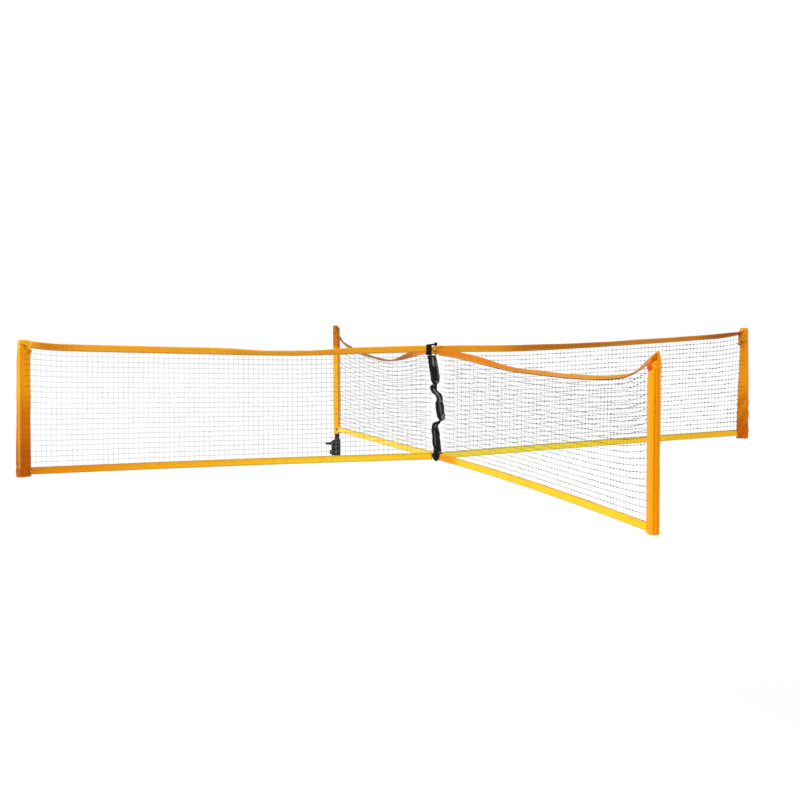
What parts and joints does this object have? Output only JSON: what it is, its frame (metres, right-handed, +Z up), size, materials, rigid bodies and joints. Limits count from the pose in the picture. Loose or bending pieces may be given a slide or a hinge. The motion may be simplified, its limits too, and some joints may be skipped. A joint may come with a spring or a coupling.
{
  "type": "four-way volleyball net head",
  "caption": "Cross-shaped volleyball net head: four net wings hinged on a centre strap, each ending in a fabric sleeve over the top tube of its post, one post with a lever clamp.",
  "frame": {"origin": "on the vertical centre axis that the four wings meet on, at the level of the clamp's foot, which is the lowest point", "axes": "+Z up, +X towards the right wing's side, +Y towards the back wing; the front and back wings lie along Y, 2.5 degrees off it, and the left and right wings 7.8 degrees off X"},
  "size_m": [4.2075, 4.2618, 0.886],
  "materials": {
    "net_cord": "knotted dark polyester cord",
    "band_fabric": "glossy orange coated nylon, folded and sewn",
    "tape_fabric": "yellow-orange coated nylon tape",
    "core_cord": "braided cord",
    "black_webbing": "black nylon webbing",
    "sleeve_fabric": "orange coated nylon, wrinkled",
    "tab_fabric": "red-orange webbing tab",
    "black_cord": "black braided cord",
    "strap_nylon": "glossy black padded nylon",
    "tube_black": "black coated tube",
    "cap_plastic": "black plug",
    "clamp_plastic": "black moulded plastic",
    "lever_plastic": "black moulded plastic",
    "bush_plastic": "grey nylon",
    "pin_steel": "plated steel"
  },
  "bodies": {
    "centre": {"top_hinge_cord": "black_cord", "bottom_hinge_cord": "black_cord", "top_loop": "black_webbing", "bottom_loop": "black_webbing", "centre_strap": "strap_nylon"},
    "wing_left": {"net_left": "net_cord", "top_band_left": "band_fabric", "top_cord_left": "core_cord", "bottom_tape_left": "tape_fabric", "bottom_cord_left": "core_cord", "top_eye_left": "band_fabric", "bottom_eye_left": "black_webbing", "sleeve_left": "sleeve_fabric", "hood_left": "sleeve_fabric", "corner_tabs_left": "tab_fabric", "band_keeper": "black_webbing"},
    "wing_right": {"net_right": "net_cord", "top_band_right": "band_fabric", "top_cord_right": "core_cord", "bottom_tape_right": "tape_fabric", "bottom_cord_right": "core_cord", "top_eye_right": "band_fabric", "bottom_eye_right": "black_webbing", "sleeve_right": "sleeve_fabric", "hood_right": "sleeve_fabric", "corner_tabs_right": "tab_fabric"},
    "wing_front": {"net_front": "net_cord", "top_band_front": "band_fabric", "top_cord_front": "core_cord", "bottom_tape_front": "tape_fabric", "bottom_cord_front": "core_cord", "top_eye_front": "band_fabric", "bottom_eye_front": "black_webbing", "sleeve_front": "sleeve_fabric", "hood_front": "sleeve_fabric", "corner_tabs_front": "tab_fabric"},
    "wing_back": {"net_back": "net_cord", "top_band_back": "band_fabric", "top_cord_back": "core_cord", "bottom_tape_back": "tape_fabric", "bottom_cord_back": "core_cord", "top_eye_back": "band_fabric", "bottom_eye_back": "black_webbing", "sleeve_back": "sleeve_fabric", "hood_back": "sleeve_fabric", "corner_tabs_back": "tab_fabric"},
    "post_left": {"post_left": "tube_black", "post_cap_left": "cap_plastic"},
    "post_right": {"post_right": "tube_black", "post_cap_right": "cap_plastic"},
    "post_front": {"post_front": "tube_black", "post_cap_front": "cap_plastic"},
    "post_back": {"post_back": "tube_black", "post_cap_back": "cap_plastic"},
    "clamp": {"collar": "clamp_plastic", "grip_bush": "bush_plastic", "lever_pin": "pin_steel", "knob_nut": "pin_steel"},
    "clamp_lever": {"lever": "lever_plastic"},
    "clamp_knob": {"knob": "lever_plastic"}
  },
  "joints": [
    {"name": "left_wing_swing", "type": "hinge", "parent": "centre", "child": "wing_left", "pos_m": [0, 0, 0.19], "axis": [0, 0, 1], "range_deg": [-60, 60]},
    {"name": "right_wing_swing", "type": "hinge", "parent": "centre", "child": "wing_right", "pos_m": [0, 0, 0.19], "axis": [0, 0, 1], "range_deg": [-60, 60]},
    {"name": "front_wing_swing", "type": "hinge", "parent": "centre", "child": "wing_front", "pos_m": [0, 0, 0.19], "axis": [0, 0, 1], "range_deg": [-60, 60]},
    {"name": "back_wing_swing", "type": "hinge", "parent": "centre", "child": "wing_back", "pos_m": [0, 0, 0.19], "axis": [0, 0, 1], "range_deg": [-60, 60]},
    {"name": "left_post_slide", "type": "slide", "parent": "wing_left", "child": "post_left", "axis": [0, 0, -1], "range_m": [0, 0.6]},
    {"name": "right_post_slide", "type": "slide", "parent": "wing_right", "child": "post_right", "axis": [0, 0, -1], "range_m": [0, 0.6]},
    {"name": "front_post_slide", "type": "slide", "parent": "wing_front", "child": "post_front", "axis": [0, 0, -1], "range_m": [0, 0.6]},
    {"name": "back_post_slide", "type": "slide", "parent": "wing_back", "child": "post_back", "axis": [0, 0, -1], "range_m": [0, 0.6]},
    {"name": "clamp_slide", "type": "slide", "parent": "post_back", "child": "clamp", "axis": [0, 0, 1], "range_m": [-0.03, 0.03]},
    {"name": "clamp_lever_turn", "type": "hinge", "parent": "clamp", "child": "clamp_lever", "pos_m": [0.06332, 2.10829, 0.0875], "axis": [0.342, 0.9397, 0], "range_deg": [0, 85]},
    {"name": "clamp_knob_turn", "type": "hinge", "parent": "clamp", "child": "clamp_knob", "pos_m": [0.05627, 2.11086, 0.031], "axis": [-0.9397, 0.342, 0], "continuous": true}
  ]
}
